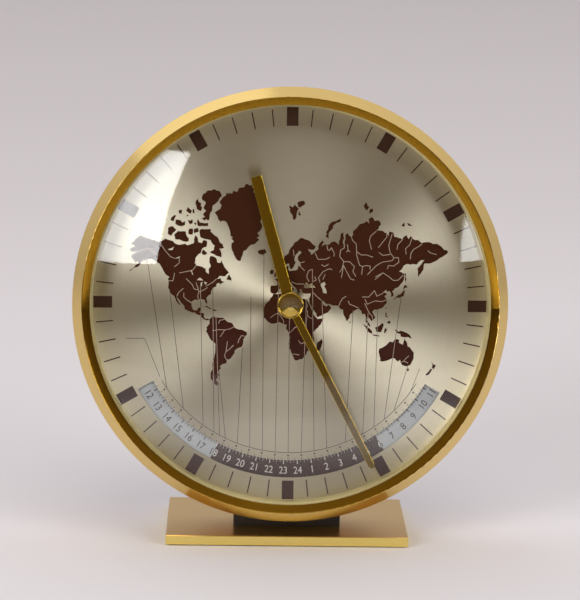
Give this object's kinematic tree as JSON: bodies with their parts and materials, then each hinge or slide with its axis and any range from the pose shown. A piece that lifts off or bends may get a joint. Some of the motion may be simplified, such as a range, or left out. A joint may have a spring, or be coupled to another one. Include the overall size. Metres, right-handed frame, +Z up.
{
  "type": "table clock",
  "caption": "Round brass world-time table clock, tilted on a flat brass foot, with a mapped dial, an arc window onto a turning hour disc, and a battery movement.",
  "frame": {"origin": "centre of the foot's felted underside", "axes": "+Z up, the dial faces -Y and leans back, +X to the viewer's right"},
  "size_m": [0.16, 0.0701, 0.1698],
  "materials": {
    "polished_brass": "polished, lacquered",
    "hand_brass": "polished",
    "movement_brass": "plain",
    "steel": "turned",
    "pedestal_black": "satin black",
    "felt": "felt",
    "dial_silver": "brushed, printed",
    "disc_print": "printed",
    "glass": "clear, domed",
    "gasket_rubber": "matte",
    "spacer_dark": "satin",
    "cover_plastic": "fine texture",
    "knob_plastic": "moulded",
    "board_green": "solder mask",
    "chip_black": "moulded",
    "copper": "enamelled wire",
    "magnet_grey": "sintered",
    "bobbin_plastic": "moulded",
    "battery_label": "plain sleeve",
    "contact_metal": "nickel plated"
  },
  "bodies": {
    "clock": {"base_felt": "felt", "base_plate": "polished_brass", "base_screws": "steel", "pedestal": "pedestal_black", "nut_bar": "steel", "case_body": "polished_brass", "bezel": "polished_brass", "glass": "glass", "glass_gasket": "gasket_rubber", "spacer_ring": "spacer_dark", "dial": "dial_silver", "disc_clip": "steel", "center_bush": "movement_brass", "main_plate": "movement_brass", "plate_screws": "steel", "pillars": "movement_brass", "back_plate": "movement_brass", "pillar_screws": "steel", "minute_stud": "steel", "stator": "steel", "coil_core": "steel", "coil_bobbin": "bobbin_plastic", "coil_winding": "copper", "stator_posts": "movement_brass", "stator_screws": "steel", "circuit_board": "board_green", "board_posts": "movement_brass", "board_screws": "steel", "quartz_crystal": "contact_metal", "control_chip": "chip_black", "trimmer": "bobbin_plastic", "battery": "battery_label", "contact_positive": "contact_metal", "contact_negative": "contact_metal", "rear_cover": "cover_plastic", "cover_screws": "steel"},
    "minute": {"minute_arbor": "steel", "minute_hand": "hand_brass", "hand_cap": "hand_brass", "clutch_spring": "steel"},
    "minute_wheel": {"minute_wheel": "movement_brass"},
    "hour": {"hour_wheel": "movement_brass", "hour_hand": "hand_brass"},
    "idler": {"idler_wheel": "movement_brass", "idler_pinion": "steel"},
    "world_disc": {"world_disc": "disc_print", "disc_hub": "movement_brass"},
    "setting": {"set_stem": "steel", "set_knob": "knob_plastic"},
    "rotor": {"rotor": "steel", "rotor_magnet": "magnet_grey"},
    "intermediate": {"intermediate_wheel": "movement_brass"},
    "second": {"second_wheel": "movement_brass"},
    "third": {"third_wheel": "movement_brass"},
    "center": {"center_wheel": "movement_brass"},
    "door": {"battery_door": "cover_plastic"}
  },
  "joints": [
    {"name": "minute_turn", "type": "hinge", "parent": "clock", "child": "minute", "pos_m": [0, -0.02, 0.08961], "axis": [0, 0.9954, -0.0958], "continuous": true},
    {"name": "minute_wheel_turn", "type": "hinge", "parent": "clock", "child": "minute_wheel", "pos_m": [-0.01061, -0.02102, 0.07906], "axis": [0, 0.9954, -0.0958], "continuous": true},
    {"name": "hour_turn", "type": "hinge", "parent": "clock", "child": "hour", "pos_m": [0, -0.02, 0.08961], "axis": [0, 0.9954, -0.0958], "continuous": true},
    {"name": "idler_turn", "type": "hinge", "parent": "clock", "child": "idler", "pos_m": [0.01061, -0.01898, 0.10017], "axis": [0, 0.9954, -0.0958], "continuous": true},
    {"name": "world_disc_turn", "type": "hinge", "parent": "clock", "child": "world_disc", "pos_m": [0, -0.02, 0.08961], "axis": [0, 0.9954, -0.0958], "continuous": true},
    {"name": "setting_turn", "type": "hinge", "parent": "clock", "child": "setting", "pos_m": [-0.0247, -0.02151, 0.07395], "axis": [0, 0.9954, -0.0958], "continuous": true},
    {"name": "rotor_turn", "type": "hinge", "parent": "clock", "child": "rotor", "pos_m": [0.02331, -0.0179, 0.11147], "axis": [0, 0.9954, -0.0958], "continuous": true},
    {"name": "intermediate_turn", "type": "hinge", "parent": "clock", "child": "intermediate", "pos_m": [0.00913, -0.01766, 0.11396], "axis": [0, 0.9954, -0.0958], "continuous": true},
    {"name": "second_turn", "type": "hinge", "parent": "clock", "child": "second", "pos_m": [-0.00466, -0.01789, 0.11154], "axis": [0, 0.9954, -0.0958], "continuous": true},
    {"name": "third_turn", "type": "hinge", "parent": "clock", "child": "third", "pos_m": [-0.01559, -0.01914, 0.09857], "axis": [0, 0.9954, -0.0958], "continuous": true},
    {"name": "center_turn", "type": "hinge", "parent": "clock", "child": "center", "pos_m": [0, -0.02, 0.08961], "axis": [0, 0.9954, -0.0958], "continuous": true},
    {"name": "door_swing", "type": "hinge", "parent": "clock", "child": "door", "pos_m": [0, 0.01097, 0.03514], "axis": [-1, 0, 0], "range_deg": [0, 100]}
  ],
  "couplings": [
    {"joint": "minute_wheel_turn", "follows": "minute_turn", "ratio": -0.33333},
    {"joint": "hour_turn", "follows": "minute_turn", "ratio": 0.083333},
    {"joint": "idler_turn", "follows": "minute_turn", "ratio": -0.041667},
    {"joint": "world_disc_turn", "follows": "minute_turn", "ratio": 0.013889},
    {"joint": "setting_turn", "follows": "minute_turn", "ratio": 1},
    {"joint": "intermediate_turn", "follows": "rotor_turn", "ratio": -0.2},
    {"joint": "second_turn", "follows": "rotor_turn", "ratio": 0.033333},
    {"joint": "third_turn", "follows": "rotor_turn", "ratio": -0.0044444},
    {"joint": "center_turn", "follows": "rotor_turn", "ratio": 0.00055556}
  ]
}
